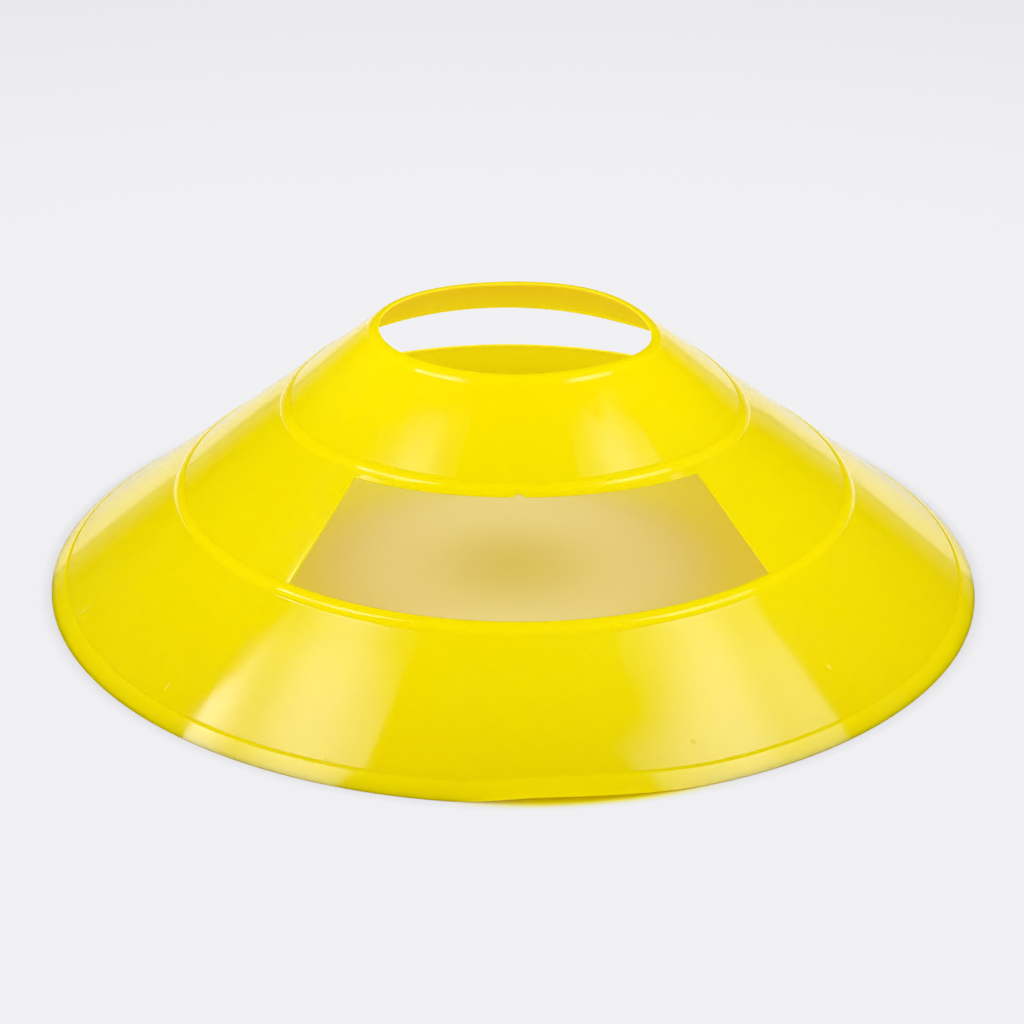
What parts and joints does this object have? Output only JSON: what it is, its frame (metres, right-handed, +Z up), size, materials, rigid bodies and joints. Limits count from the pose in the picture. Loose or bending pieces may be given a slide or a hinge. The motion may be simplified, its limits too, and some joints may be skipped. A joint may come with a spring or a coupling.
{
  "type": "sports marker cone",
  "caption": "Low yellow plastic disc cone with a round top hole, raised beads, a base rim and cut-out windows, set on the ground to mark training courses.",
  "frame": {"origin": "centre of the base rim, on the plane that it rests on", "axes": "+Z up the cone's axis through the top hole; one window faces -Y and the other +Y"},
  "size_m": [0.19, 0.19, 0.053],
  "materials": {
    "yellow_plastic": "glossy moulded polyethylene"
  },
  "bodies": {
    "root": {"cone_shell": "yellow_plastic"}
  },
  "joints": []
}
